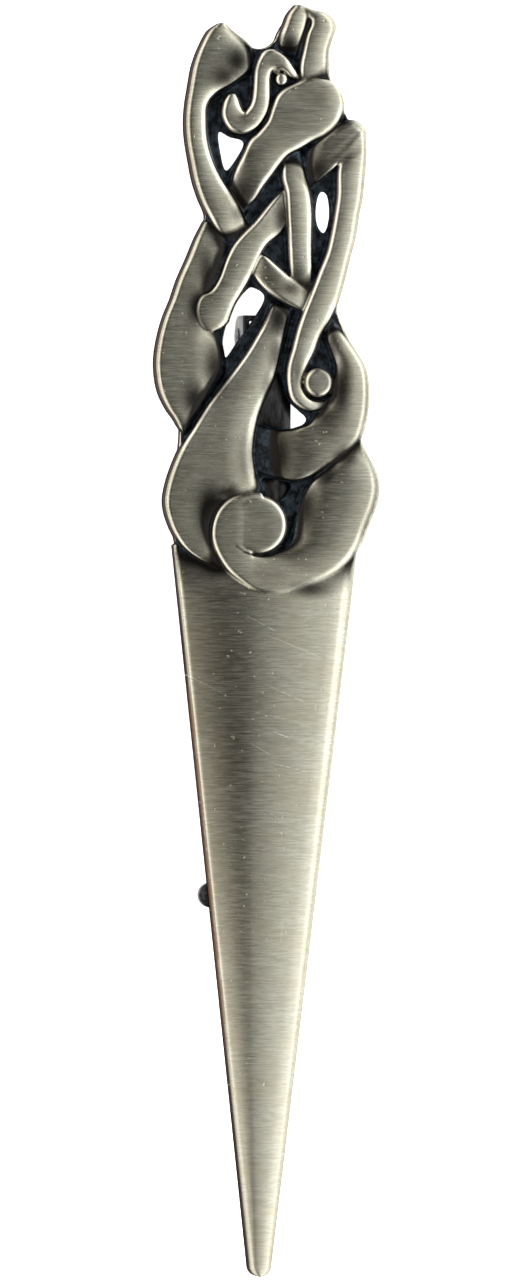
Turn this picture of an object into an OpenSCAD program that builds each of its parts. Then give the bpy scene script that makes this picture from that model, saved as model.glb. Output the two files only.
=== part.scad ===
// Kilt pin: a cast knotted beast with a long plain blade, and a brooch fitting on its back.
// It lies on its fitting with the blade's tip towards -Y and the carved face up.

/* [Casting] */
// Overall length, from the top of the ears to the tip of the blade
overall_len = 100; // [88:1:125]
// Width across the knotted beast
knot_w = 17.8; // [15:0.2:22]
// Length of the knotted beast, down to the foot of its lowest loop
knot_len = 46.5; // [40:0.5:52]
// Height of the full strands above the casting's back
strand_t = 2; // [1.7:0.1:2.8]
// Thickness of the recessed web behind the strands
web_t = 0.9; // [0.6:0.05:1.1]
// How far the web shows past the strands
web_rim = 0.14; // [0.06:0.02:0.3]
// Width of the rolled edge along each strand
roll_w = 0.75; // [0.4:0.05:1]
// Depth of the rolled edge along each strand
roll_t = 0.4; // [0.2:0.05:0.5]
// Width of the blade at its shoulder
blade_w = 14.7; // [12:0.1:16]
// Height of the blade's soft middle ridge above the back
ridge_t = 1.95; // [1.6:0.05:2.6]
// Height of the blade's flanks, just inside the rolled edge
flank_t = 1.6; // [1.3:0.05:2]
// Radius of the blade's tip
tip_r = 0.95; // [0.6:0.05:1.3]

/* [Back bar] */
// Width of the steel strip
bar_w = 4.2; // [3.8:0.1:5]
// Thickness of the steel strip
bar_t = 0.6; // [0.5:0.05:0.8]
// Length of the steel strip
bar_len = 48; // [42:0.5:54]
// Distance from the top of the ears to the strip's hinge end
bar_drop = 24.5; // [22:0.5:28]
// Width across the two hinge ears, where the strip is cut narrower
hinge_w = 3.5; // [3.4:0.1:3.8]
// Thickness of the two hinge ears
ear_t = 0.5; // [0.4:0.05:0.6]
// Radius of the round end of each hinge ear
ear_r = 1.6; // [1.4:0.05:1.9]
// Margin between the strip's end and its hinge window
window_margin = 0.45; // [0.35:0.05:0.7]
// Radius of the cast pegs that hold the strip
peg_r = 0.8; // [0.6:0.05:1]
// How far each peened peg head reaches past its peg
peg_lip = 0.35; // [0.2:0.05:0.5]
// Thickness of the peened peg heads
peg_head_t = 0.4; // [0.3:0.05:0.6]

/* [Pin and catch] */
// Radius of the pin's wire
wire_r = 0.45; // [0.4:0.05:0.55]
// Length of the ground point of the pin
point_len = 5; // [4:0.5:8]
// How far the pin's point reaches past the catch
point_past = 1.2; // [0.6:0.1:2]
// How much thicker the wire's swaged root is than the wire
root_swell = 0.2; // [0.1:0.05:0.25]
// Radius of the pivot rivet
pivot_r = 0.5; // [0.4:0.05:0.6]
// Outer radius of the pin's knuckle
knuckle_r = 1.05; // [0.95:0.05:1.2]
// Outer radius of the catch housing
catch_r = 2.1; // [1.95:0.05:2.4]
// Wall of the catch housing
catch_wall = 0.6; // [0.4:0.05:0.65]
// Length of the catch housing along the strip
catch_len = 3; // [2.6:0.1:4]
// Distance from the strip's lower end to the middle of the catch
catch_inset = 2.4; // [2.2:0.1:3]
// Width of the neck of the thumb tab
tab_neck_w = 1.1; // [0.9:0.1:1.3]
// Thickness of the thumb tab
tab_t = 0.85; // [0.7:0.05:1]
// Radius of the round end of the thumb tab
tab_r = 1; // [0.8:0.05:1.2]
// Distance from the pin to the far edge of the thumb tab
tab_reach = 4.6; // [4.4:0.1:5.5]
// Angle of the hinge at which the pin is drawn
hinge_open = 0; // [0:5:70]
// Angle of the lock at which the rotor is drawn
lock_turn = 0; // [0:5:90]

/* [Hidden] */

// Clearances: radial in the bores, sideways beside the knuckle, and between seated faces
bore_gap = 0.06;
rotor_gap = 0.08;
side_gap = 0.15;
seat_gap = 0.04;
slot_gap = 0.2;
// How far the rivet's two nearly flush heads reach past its shank, and their height
rivet_lip = 0.25;
rivet_head_t = 0.14;
// How far a cutting form reaches past what it cuts, and the thickness of a blade section
past = 1;
thin = 0.01;
// Overlaps that make one solid of touching forms
weld = 0.2;
round_fn = 48;

// Heights: the catch's lips and the hinge ears both stand on the floor
slot_w = 2 * (wire_r + slot_gap);
axis_z = sqrt(pow(catch_r, 2) - pow(slot_w / 2, 2));
pivot_z = ear_r;
bar_z = axis_z + catch_r - weld;
back_z = bar_z + bar_t + seat_gap;

// Places along the pin
top_y = overall_len / 2;
knot_y = top_y - knot_len;
bar_top_y = top_y - bar_drop;
bar_bottom_y = bar_top_y - bar_len;
pivot_y = bar_top_y - ear_r;
catch_y = bar_bottom_y + catch_inset;
upper_peg_y = knot_y + 0.24 * knot_len;
lower_peg_y = catch_y + catch_len / 2 + 4 * peg_r;
ear_gap = hinge_w - 2 * ear_t;
hinge_len = 3 * ear_r;
rotor_r = catch_r - catch_wall - rotor_gap;
bore_r = wire_r + 0.3;

// Each strand is lofted between two edges, a row for each section.
// Columns: first edge across, along and rise, then second edge across, along and rise.
// Across is in hundredths of half the knot's width, from its middle.
// Along is in thousandths of the knot's length, from its foot.
// Rise is in hundredths of the strand height.
lappet = [
    [-44, 965, 84, -42, 965, 84],
    [-54, 951, 94, -33, 951, 84],
    [-62, 922, 97, -17, 926, 70],
    [-67, 895, 98, -12, 890, 62],
    [-69, 877, 98, -26, 866, 64],
    [-71, 853, 98, -46, 846, 82],
    [-73, 828, 98, -55, 826, 92],
    [-74, 799, 98, -56, 799, 94],
    [-73, 768, 98, -55, 768, 95],
    [-70, 735, 99, -51, 738, 97],
    [-66, 698, 100, -43, 704, 100],
    [-60, 665, 101, -34, 677, 102],
    [-52, 635, 99, -27, 654, 101],
    [-45, 613, 92, -21, 633, 94],
    [-32, 579, 66, -12, 610, 68]
];
snout = [
    [26, 873, 84, 25, 871, 84],
    [21, 888, 92, 18, 877, 88],
    [15, 905, 96, 14, 883, 92],
    [8, 916, 97, 9, 888, 94],
    [1, 920, 97, 4, 888, 95],
    [-7, 914, 97, 1, 883, 96],
    [-13, 890, 97, 0, 870, 96],
    [-14, 861, 97, 0, 853, 96],
    [-15, 839, 97, 0, 831, 96],
    [-17, 826, 97, -3, 811, 96],
    [-20, 818, 97, -11, 790, 96],
    [-22, 813, 97, -23, 780, 96],
    [-24, 818, 97, -35, 785, 96],
    [-26, 826, 97, -42, 807, 96],
    [-28, 834, 96, -41, 828, 95],
    [-31, 843, 92, -37, 842, 92],
    [-33, 846, 88, -34, 846, 88]
];
left_ear = [
    [7, 920, 72, 25, 907, 68],
    [8, 932, 88, 27, 920, 80],
    [10, 948, 95, 29, 939, 88],
    [13, 963, 96, 32, 958, 91],
    [17, 982, 94, 34, 976, 91],
    [24, 997, 90, 34, 987, 88]
];
right_ear = [
    [26, 997, 88, 31, 981, 84],
    [37, 988, 92, 34, 976, 86],
    [47, 984, 94, 36, 972, 90],
    [55, 974, 95, 36, 963, 95],
    [58, 959, 95, 33, 949, 97],
    [55, 941, 95, 31, 934, 97],
    [52, 920, 95, 29, 915, 97],
    [52, 900, 94, 27, 895, 96],
    [53, 878, 86, 27, 875, 88],
    [56, 863, 66, 27, 860, 66]
];
ear_fold = [
    [33, 979, 70, 37, 978, 70],
    [31, 962, 78, 35, 961, 78],
    [28, 943, 80, 32, 941, 80],
    [26, 924, 76, 30, 922, 76],
    [24, 904, 58, 28, 902, 58]
];
head = [
    [54, 870, 96, 63, 850, 96],
    [44, 873, 99, 66, 831, 98],
    [32, 872, 100, 65, 814, 99],
    [22, 863, 100, 60, 795, 100],
    [12, 853, 100, 50, 778, 100],
    [6, 841, 100, 39, 768, 100],
    [2, 822, 100, 28, 756, 100],
    [-2, 800, 100, 17, 745, 100],
    [-10, 780, 100, 9, 728, 100],
    [-18, 765, 99, 2, 709, 99],
    [-24, 741, 96, -5, 691, 97],
    [-30, 718, 88, -11, 672, 92],
    [-35, 694, 74, -17, 655, 84],
    [-34, 672, 66, -21, 643, 76],
    [-26, 650, 64, -24, 638, 68]
];
right_strand = [
    [53, 780, 72, 68, 804, 88],
    [43, 767, 70, 75, 803, 91],
    [34, 752, 68, 78, 801, 93],
    [32, 731, 68, 80, 798, 94],
    [33, 713, 68, 82, 795, 95],
    [35, 700, 67, 84, 792, 95],
    [38, 691, 66, 85, 788, 96],
    [50, 710, 82, 86, 775, 96],
    [61, 729, 96, 86, 760, 97],
    [61, 715, 99, 86, 742, 97],
    [61, 700, 99, 85, 715, 97],
    [61, 676, 99, 83, 674, 97],
    [59, 647, 99, 80, 644, 97],
    [56, 613, 99, 77, 606, 97],
    [52, 579, 99, 72, 569, 97],
    [45, 545, 100, 67, 530, 98],
    [38, 510, 101, 62, 497, 99],
    [31, 476, 101, 55, 468, 99],
    [26, 448, 100, 47, 441, 99],
    [22, 417, 99, 42, 414, 98],
    [18, 387, 98, 35, 387, 96],
    [18, 360, 97, 30, 360, 92],
    [21, 334, 96, 33, 343, 90],
    [29, 319, 94, 39, 331, 88],
    [40, 313, 90, 46, 329, 84],
    [50, 318, 84, 53, 333, 80],
    [57, 331, 76, 57, 340, 74]
];
middle_strand = [
    [17, 765, 64, 31, 770, 64],
    [13, 741, 74, 29, 745, 74],
    [12, 724, 86, 31, 727, 86],
    [12, 704, 96, 33, 706, 94],
    [15, 679, 101, 37, 679, 98],
    [16, 650, 102, 39, 647, 98],
    [17, 616, 100, 39, 613, 97],
    [18, 586, 96, 39, 579, 94],
    [19, 558, 91, 40, 548, 89],
    [20, 530, 84, 41, 512, 82]
];
cross_band = [
    [-12, 576, 82, -17, 546, 80],
    [-3, 573, 91, -10, 530, 89],
    [6, 559, 95, -2, 515, 93],
    [15, 544, 96, 8, 502, 94],
    [25, 530, 92, 18, 491, 90],
    [36, 518, 86, 29, 480, 84],
    [44, 508, 76, 39, 468, 74]
];
diagonal_strand = [
    [17, 698, 76, 28, 664, 74],
    [7, 675, 86, 21, 640, 83],
    [-4, 649, 95, 12, 614, 92],
    [-12, 630, 99, -1, 594, 98],
    [-22, 611, 101, -8, 572, 100],
    [-31, 591, 102, -13, 551, 101],
    [-38, 566, 102, -19, 527, 101],
    [-44, 535, 102, -25, 507, 101],
    [-51, 513, 102, -30, 490, 101],
    [-61, 502, 101, -34, 471, 100],
    [-65, 482, 100, -36, 460, 99],
    [-63, 463, 98, -42, 449, 98],
    [-58, 449, 95, -50, 444, 95]
];
left_loop = [
    [-56, 630, 82, -38, 622, 60],
    [-64, 600, 94, -34, 582, 56],
    [-71, 567, 96, -38, 549, 58],
    [-79, 532, 97, -45, 518, 62],
    [-85, 498, 97, -49, 493, 64],
    [-92, 464, 97, -46, 461, 68],
    [-97, 426, 97, -41, 429, 78],
    [-99, 387, 97, -38, 384, 74],
    [-96, 346, 96, -48, 343, 70],
    [-89, 316, 94, -58, 312, 70],
    [-81, 294, 88, -68, 289, 70],
    [-77, 279, 78, -74, 272, 70]
];
teardrop = [
    [4, 493, 78, 24, 480, 60],
    [-1, 468, 92, 19, 459, 64],
    [-9, 439, 97, 15, 431, 78],
    [-19, 407, 99, 11, 400, 92],
    [-31, 375, 100, 6, 366, 97],
    [-43, 345, 100, -1, 334, 98],
    [-55, 314, 100, -8, 302, 98],
    [-66, 279, 100, -12, 268, 98],
    [-76, 247, 99, -13, 236, 98],
    [-84, 211, 98, -10, 204, 95],
    [-89, 177, 97, -5, 174, 80],
    [-90, 152, 97, -24, 152, 58],
    [-87, 127, 97, -38, 123, 54],
    [-81, 101, 96, -40, 94, 54],
    [-72, 78, 93, -38, 68, 58],
    [-60, 61, 88, -34, 48, 64],
    [-44, 46, 80, -30, 38, 68]
];
lower_loop = [
    [83, 260, 82, 81, 257, 78],
    [91, 233, 92, 69, 238, 80],
    [98, 206, 95, 55, 216, 82],
    [100, 177, 96, 41, 194, 80],
    [97, 149, 96, 32, 169, 72],
    [91, 120, 96, 27, 142, 66],
    [85, 91, 96, 24, 115, 64],
    [76, 64, 96, 21, 95, 66],
    [63, 42, 97, 15, 81, 76],
    [46, 24, 98, 8, 73, 85],
    [28, 10, 100, 1, 67, 93],
    [9, 2, 101, -6, 66, 98],
    [-9, 8, 102, -13, 69, 101],
    [-23, 24, 103, -14, 82, 103],
    [-35, 44, 103, -10, 94, 104],
    [-44, 69, 104, -6, 106, 105],
    [-49, 96, 104, -3, 118, 105],
    [-48, 123, 104, -2, 130, 105],
    [-42, 147, 103, -2, 140, 105],
    [-31, 164, 102, -3, 150, 104],
    [-18, 171, 101, -4, 157, 103],
    [-5, 172, 99, -3, 164, 101]
];
right_loop = [
    [57, 469, 64, 53, 463, 60],
    [68, 442, 86, 51, 437, 66],
    [78, 414, 95, 55, 414, 68],
    [87, 385, 96, 59, 390, 66],
    [90, 355, 96, 57, 361, 66],
    [90, 324, 96, 54, 336, 68],
    [88, 296, 96, 48, 319, 74],
    [83, 265, 95, 41, 301, 81],
    [72, 241, 93, 37, 290, 85],
    [58, 223, 92, 30, 284, 86],
    [44, 206, 90, 23, 280, 84],
    [30, 196, 86, 15, 280, 78],
    [17, 195, 78, 6, 282, 69],
    [4, 201, 64, -2, 285, 58],
    [-10, 210, 50, -12, 289, 50]
];
STRANDS = [
    lappet, snout, left_ear, right_ear, ear_fold, head, right_strand, middle_strand,
    cross_band, diagonal_strand, left_loop, teardrop, lower_loop, right_loop
];

// Round bosses and eyes. Columns: across, along, radius in hundredths of half the knot's width, rise.
BOSSES = [
    [-8, 119, 26, 105.5],
    [45, 360, 13, 100],
    [10, 871, 5.2, 95],
    [6, 886, 3.6, 84]
];

// Outline of the web between the strands. Columns: across and along.
web_edge = [
    [-41, 929], [-31, 948], [-23, 933], [-15, 925], [-8, 923], [-1, 927], [5, 937], [8, 951],
    [17, 971], [44, 971], [48, 904], [59, 853], [68, 819], [71, 806], [79, 768], [77, 667],
    [68, 566], [64, 507], [63, 478], [69, 453], [80, 397], [85, 329], [84, 279], [86, 253],
    [90, 177], [84, 108], [79, 84], [60, 52], [7, 12], [-33, 40], [-66, 60], [-79, 84], [-82, 110],
    [-85, 152], [-79, 228],
    [-77, 270], [-79, 292], [-94, 338], [-95, 414], [-79, 512], [-61, 600], [-56, 635],
    [-59, 658], [-66, 718], [-71, 802], [-67, 878], [-57, 924]
];

// Openings cut right through the web. Columns: across and along.
OPENINGS = [
    [[-44, 781], [-33, 773], [-21, 765], [-27, 738], [-37, 716], [-42, 743]],
    [[43, 647], [45, 674], [49, 683], [54, 676], [56, 648], [54, 622], [50, 613], [45, 624]],
    [[-12, 520], [-1, 503], [-13, 461], [-25, 429], [-36, 400],
     [-39, 426], [-35, 461], [-27, 493], [-19, 513]],
    [[9, 380], [2, 353], [-4, 326], [-6, 299], [2, 285], [18, 282], [31, 286], [37, 299], [29, 314],
     [20, 331], [15, 358]],
    [[-3, 197], [9, 197], [18, 193], [23, 187], [20, 174], [15, 163], [10, 161], [4, 168], [0, 181]]
];

// Sections of the blade from shoulder to tip. Columns: along its length, ridge and flank heights, and how far
// the ridge lies left of the middle, each in hundredths of the blade's own size there.
blade_rows = [
    [0, 70, 84, 6],
    [3, 77, 89, 6],
    [6, 93, 96, 7],
    [9, 100, 100, 9],
    [30, 98, 99, 18],
    [50, 96, 98, 27],
    [70, 92, 95, 36],
    [85, 87, 93, 42],
    [94, 83, 92, 45],
    [98.3, 81, 91, 46]
];
// Round end of the blade. Columns: angle round the tip in degrees.
tip_angles = [0, 22, 44, 64, 80];

// Steps between two rows of a strand's table, and along a web edge
strand_steps = 2;
edge_steps = 3;

// Rolled edge. Columns: share of the roll's width inwards, share of the roll's depth down.
roll_rows = [[0, 1], [0.14, 0.45], [0.48, 0.1], [1, 0]];

// A value on the smooth curve through b and c, at share t between them
function curve(a, b, c, d, t) =
    b + t * (c - a) / 2 + t * t * (a - 2.5 * b + 2 * c - d / 2) + t * t * t * (1.5 * (b - c) + (d - a) / 2);

// All rows of an open table with smooth rows worked in between
function smooth_rows(rows, steps) = let (last = len(rows) - 1) [
    for (i = [0 : last - 1], s = [0 : steps - 1])
        curve(rows[max(i - 1, 0)], rows[i], rows[i + 1], rows[min(i + 2, last)], s / steps),
    rows[last]
];

// The same for a closed outline
function smooth_ring(rows, steps) = let (n = len(rows)) [
    for (i = [0 : n - 1], s = [0 : steps - 1])
        curve(rows[(i + n - 1) % n], rows[i], rows[(i + 1) % n], rows[(i + 2) % n], s / steps)
];

// A place in the knot from its shares across and along
function knot_xy(across, along) = [across / 100 * knot_w / 2, knot_y + along / 1000 * knot_len];

// The points round one section of a strand: foot, rolled edge, top, rolled edge, foot
function strand_section(row) =
    let (
        a = knot_xy(row[0], row[1]),
        b = knot_xy(row[3], row[4]),
        width = max(norm(b - a), 2 * thin),
        inward = (b - a) / width,
        roll = min(roll_w, 0.42 * width),
        depth = min(roll_t, roll),
        top_a = back_z + row[2] / 100 * strand_t,
        top_b = back_z + row[5] / 100 * strand_t,
        foot = back_z + web_t / 2
    )
    concat(
        [[a[0], a[1], foot]],
        [for (r = roll_rows) let (p = a + r[0] * roll * inward)
            [p[0], p[1], max(top_a - r[1] * depth, foot + 2 * thin)]],
        [for (i = [len(roll_rows) - 1 : -1 : 0]) let (r = roll_rows[i], p = b - r[0] * roll * inward)
            [p[0], p[1], max(top_b - r[1] * depth, foot + 2 * thin)]],
        [[b[0], b[1], foot]]
    );

// One solid lofted through sections that all have the same number of points
module loft(sections) {
    n = len(sections[0]);
    last = len(sections) - 1;
    points = [for (section = sections) each section];
    walls = [for (i = [0 : last - 1], k = [0 : n - 1]) each [
        [i * n + k, (i + 1) * n + k, (i + 1) * n + (k + 1) % n],
        [i * n + k, (i + 1) * n + (k + 1) % n, i * n + (k + 1) % n]
    ]];
    ends = [
        [for (k = [0 : n - 1]) k],
        [for (k = [n - 1 : -1 : 0]) last * n + k]
    ];
    polyhedron(points = points, faces = concat(walls, ends));
}

// True where the first edge lies to the left when one looks along the strand
function turns_left(rows) =
    let (
        mid = floor(len(rows) / 2),
        a = knot_xy(rows[mid][0], rows[mid][1]),
        b = knot_xy(rows[mid][3], rows[mid][4]),
        next = rows[mid + 1],
        ahead = knot_xy(next[0], next[1]) + knot_xy(next[3], next[4]) - a - b,
        across = b - a
    )
    ahead[0] * across[1] - ahead[1] * across[0] < 0;

function swapped(rows) = [for (r = rows) [r[3], r[4], r[5], r[0], r[1], r[2]]];

module strand(rows) {
    even = turns_left(rows) ? rows : swapped(rows);
    loft([for (row = smooth_rows(even, strand_steps)) strand_section(row)]);
}

// Flat outline of a strand, for the web under it
module strand_shadow(rows) {
    fine = smooth_rows(rows, strand_steps);
    last = len(fine) - 1;
    polygon(concat(
        [for (i = [0 : last]) knot_xy(fine[i][0], fine[i][1])],
        [for (i = [last : -1 : 0]) knot_xy(fine[i][3], fine[i][4])]
    ));
}

module web_shape() {
    offset(r = web_rim, $fn = 12)
        for (rows = STRANDS) strand_shadow(rows);
    difference() {
        polygon([for (p = smooth_ring(web_edge, edge_steps)) knot_xy(p[0], p[1])]);
        for (opening = OPENINGS)
            polygon([for (p = smooth_ring(opening, edge_steps)) knot_xy(p[0], p[1])]);
    }
}

// A round boss: a short post with the same rolled edge as the strands
module boss(row) {
    at = knot_xy(row[0], row[1]);
    r = row[2] / 100 * knot_w / 2;
    top = row[3] / 100 * strand_t;
    roll = min(roll_w, 0.6 * r);
    depth = min(roll_t, roll);
    translate([at[0], at[1], back_z])
        rotate_extrude($fn = r > 1 ? 32 : 14)
            polygon(concat(
                [[0, web_t / 2], [r, web_t / 2]],
                [for (p = roll_rows) [r - p[0] * roll, top - p[1] * depth]],
                [[0, top]]
            ));
}

// Half the blade's width at a height along the pin
blade_top_y = knot_y + 0.085 * knot_len;
tip_y = -overall_len / 2 + tip_r;
function blade_half(y) = tip_r + (blade_w / 2 - tip_r) * (y - tip_y) / (blade_top_y - tip_y);

// A thin slice of the blade: flank walls, rolled edges and a soft ridge
module blade_slice(y, half, ridge, flank, left) {
    roll = min(roll_w, 0.42 * half);
    depth = min(roll_t, roll);
    ridge_x = -left * half;
    soft = 0.3;
    soft_z = ridge - soft / 2 * (ridge - flank);
    side = [for (p = roll_rows) [half - p[0] * roll, flank - p[1] * depth]];
    translate([0, y, back_z])
        rotate([90, 0, 0])
            linear_extrude(thin)
                polygon(concat(
                    [[-half, 0], [half, 0]],
                    side,
                    [[ridge_x + soft * (half - ridge_x), soft_z]],
                    [[ridge_x, ridge], [ridge_x - soft * (half + ridge_x), soft_z]],
                    [for (i = [len(side) - 1 : -1 : 0]) [-side[i][0], side[i][1]]]
                ));
}

function blade_sections() = concat(
    [for (r = blade_rows)
        let (y = blade_top_y + r[0] / 100 * (tip_y - blade_top_y))
        [y, blade_half(y), ridge_t * r[1] / 100, flank_t * r[2] / 100, r[3] / 100]],
    [for (a = tip_angles)
        let (last = blade_rows[len(blade_rows) - 1])
        [tip_y - tip_r * sin(a), tip_r * cos(a), ridge_t * (last[1] - 6 * sin(a)) / 100,
            flank_t * (last[2] - 10 * sin(a)) / 100, last[3] / 100]]
);

module blade() {
    sections = blade_sections();
    for (i = [0 : len(sections) - 2])
        hull()
            for (s = [sections[i], sections[i + 1]])
                blade_slice(s[0], s[1], s[2], s[3], s[4]);
}

// A cast peg through the strip, peened to a low head
module peg(y) {
    reach = bar_t + 2 * seat_gap;
    translate([0, y, back_z - reach])
        cylinder(r = peg_r, h = reach + web_t / 2, $fn = 24);
    translate([0, y, back_z - reach - peg_head_t])
        cylinder(r1 = peg_r, r2 = peg_r + peg_lip, h = peg_head_t / 2, $fn = 24);
    translate([0, y, back_z - reach - peg_head_t / 2])
        cylinder(r = peg_r + peg_lip, h = peg_head_t / 2, $fn = 24);
}

module casting() {
    color("#8d897b") {
        translate([0, 0, back_z])
            linear_extrude(web_t)
                web_shape();
        for (rows = STRANDS) strand(rows);
        for (row = BOSSES) boss(row);
        blade();
        peg(upper_peg_y);
        peg(lower_peg_y);
    }
}

module back_bar() {
    peg_hole_r = peg_r + bore_gap;
    window_len = ear_r - window_margin + knuckle_r;
    color("#3d3c41")
        difference() {
            union() {
                strip();
                hinge_ears();
                catch_housing();
            }
            for (y = [upper_peg_y, lower_peg_y])
                translate([0, y, bar_z - past])
                    cylinder(r = peg_hole_r, h = bar_t + 2 * past, $fn = round_fn);
            translate([-ear_gap / 2, pivot_y - knuckle_r, bar_z - past])
                cube([ear_gap, window_len, bar_t + 2 * past]);
        }
}

// The flat steel strip, with a round lower end and a narrower hinge end
module strip() {
    translate([-bar_w / 2, bar_bottom_y + bar_w / 2, bar_z])
        cube([bar_w, bar_len - bar_w / 2 - hinge_len, bar_t]);
    translate([-hinge_w / 2, bar_top_y - hinge_len - weld, bar_z])
        cube([hinge_w, hinge_len + weld, bar_t]);
    translate([0, bar_bottom_y + bar_w / 2, bar_z])
        cylinder(r = bar_w / 2, h = bar_t, $fn = round_fn);
}

// Two ears folded down from the strip's hinge end, bored for the rivet
module hinge_ears() {
    for (x = [-hinge_w / 2, hinge_w / 2 - ear_t])
        difference() {
            union() {
                translate([x, pivot_y, pivot_z])
                    rotate([0, 90, 0])
                        cylinder(r = ear_r, h = ear_t, $fn = round_fn);
                translate([x, pivot_y - ear_r, pivot_z])
                    cube([ear_t, 2 * ear_r, bar_z + bar_t / 2 - pivot_z]);
            }
            translate([x - past, pivot_y, pivot_z])
                rotate([0, 90, 0])
                    cylinder(r = pivot_r + bore_gap, h = ear_t + 2 * past, $fn = round_fn);
        }
}

// The catch: a tube under the strip, slotted for the pin and cut open where the tab turns
module catch_housing() {
    tab_room = tab_neck_w + 2 * slot_gap;
    tab_side = tab_t / 2 + slot_gap;
    difference() {
        translate([0, catch_y + catch_len / 2, axis_z])
            rotate([90, 0, 0])
                cylinder(r = catch_r, h = catch_len, $fn = round_fn);
        translate([0, catch_y + catch_len / 2 + past, axis_z])
            rotate([90, 0, 0])
                cylinder(r = catch_r - catch_wall, h = catch_len + 2 * past, $fn = round_fn);
        translate([-slot_w / 2, catch_y - catch_len, axis_z - 2 * catch_r])
            cube([slot_w, 2 * catch_len, 2 * catch_r]);
        translate([-2 * catch_r, catch_y - tab_room / 2, axis_z - 2 * catch_r])
            cube([2 * catch_r + slot_w / 2, tab_room, 2 * catch_r + tab_side]);
    }
}

module hinge_rivet() {
    head_r = pivot_r + rivet_lip;
    head_t = rivet_head_t;
    color("#55545a") {
        translate([-hinge_w / 2 - seat_gap, pivot_y, pivot_z])
            rotate([0, 90, 0])
                cylinder(r = pivot_r, h = hinge_w + 2 * seat_gap, $fn = round_fn);
        for (side = [-1, 1])
            translate([side * (hinge_w / 2 + seat_gap), pivot_y, pivot_z])
                rotate([0, side * 90, 0])
                    cylinder(r1 = head_r, r2 = pivot_r, h = head_t, $fn = round_fn);
    }
}

module pin_tongue() {
    point_y = catch_y - catch_len / 2 - point_past;
    root_y = pivot_y - 2 * knuckle_r;
    color("#a3a3a6")
        translate([0, pivot_y, pivot_z])
            rotate([hinge_open, 0, 0])
                translate([0, -pivot_y, -pivot_z])
                    difference() {
                        union() {
                            translate([-ear_gap / 2 + side_gap, pivot_y, pivot_z])
                                rotate([0, 90, 0])
                                    cylinder(r = knuckle_r, h = ear_gap - 2 * side_gap, $fn = round_fn);
                            translate([0, pivot_y - 0.7 * knuckle_r, axis_z])
                                rotate([90, 0, 0])
                                    cylinder(
                                        r1 = wire_r + root_swell, r2 = wire_r, h = 1.3 * knuckle_r,
                                        $fn = round_fn
                                    );
                            translate([0, root_y, axis_z])
                                rotate([90, 0, 0])
                                    cylinder(r = wire_r, h = root_y - point_y - point_len, $fn = round_fn);
                            translate([0, point_y + point_len, axis_z])
                                rotate([90, 0, 0])
                                    cylinder(r1 = wire_r, r2 = wire_r / 6, h = point_len, $fn = round_fn);
                        }
                        translate([-bar_w, pivot_y, pivot_z])
                            rotate([0, 90, 0])
                                cylinder(r = pivot_r + bore_gap, h = 2 * bar_w, $fn = round_fn);
                    }
}

module catch_rotor() {
    length = catch_len + 2 * slot_gap;
    color("#4a494e")
        translate([0, catch_y, axis_z])
            rotate([0, -lock_turn, 0])
                difference() {
                    union() {
                        translate([0, length / 2, 0])
                            rotate([90, 0, 0])
                                cylinder(r = rotor_r, h = length, $fn = round_fn);
                        translate([-tab_reach + tab_r, -tab_neck_w / 2, -tab_t / 2])
                            cube([tab_reach - tab_r - bore_r, tab_neck_w, tab_t]);
                        translate([-tab_reach + tab_r, 0, -tab_t / 2])
                            cylinder(r = tab_r, h = tab_t, $fn = round_fn);
                    }
                    translate([0, length, 0])
                        rotate([90, 0, 0])
                            cylinder(r = bore_r, h = 2 * length, $fn = round_fn);
                    translate([-slot_w / 2, -length, -2 * catch_r])
                        cube([slot_w, 2 * length, 2 * catch_r]);
                }
}

casting();
back_bar();
hinge_rivet();
pin_tongue();
catch_rotor();
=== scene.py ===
import math
import bmesh
import bpy
import numpy as np
from mathutils import Matrix, Vector


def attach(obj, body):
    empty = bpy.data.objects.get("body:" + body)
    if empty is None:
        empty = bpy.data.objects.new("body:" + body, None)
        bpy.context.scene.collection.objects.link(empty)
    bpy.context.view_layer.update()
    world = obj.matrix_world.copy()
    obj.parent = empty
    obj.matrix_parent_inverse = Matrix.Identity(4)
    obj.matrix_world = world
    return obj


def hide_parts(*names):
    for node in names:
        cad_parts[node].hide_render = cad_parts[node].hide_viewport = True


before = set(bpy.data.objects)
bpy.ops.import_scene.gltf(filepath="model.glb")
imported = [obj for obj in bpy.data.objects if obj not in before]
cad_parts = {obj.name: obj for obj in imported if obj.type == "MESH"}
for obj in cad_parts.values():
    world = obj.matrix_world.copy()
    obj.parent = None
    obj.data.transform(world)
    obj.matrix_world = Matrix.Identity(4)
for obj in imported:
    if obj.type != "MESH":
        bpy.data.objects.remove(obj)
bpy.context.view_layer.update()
MM = 0.001

# Casting: one zinc casting with the knotted beast in relief on a recessed, pierced web, the long blade below
# it and two peened pegs behind. It is plated in antique pewter and brushed across, with patina in its
# recesses.
# Sizes are in millimetres. The knot: its width, length and lower end, the casting's back, strands and web
KNOT_W = 17.8
KNOT_LEN = 46.5
KNOT_Y = 3.5
BACK_Z = 4.537
STRAND_T = 2.0
WEB_T = 0.9
WEB_RIM = 0.11
# Edges: width and depth of the tight rolled edge and of the soft shoulder within it, how much wider the
# shoulder gets on an edge that lies to the right, what smoothing takes off the sides, and the rise of the
# spiral's eye
EDGE_W = 0.34
EDGE_T = 0.3
SOFT_W = 1.1
SOFT_T = 0.16
BROAD = 1.5
EASED = 0.09
EYE_RISE = 104.4
# Blade: width at the shoulder, heights of its ridge and flanks, the tip's radius and the two ends' places
BLADE_W = 14.7
RIDGE_T = 1.98
FLANK_T = 1.52
TIP_R = 0.95
TIP_Y = -50 + TIP_R
BLADE_TOP_Y = KNOT_Y + 0.085 * KNOT_LEN
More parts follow.
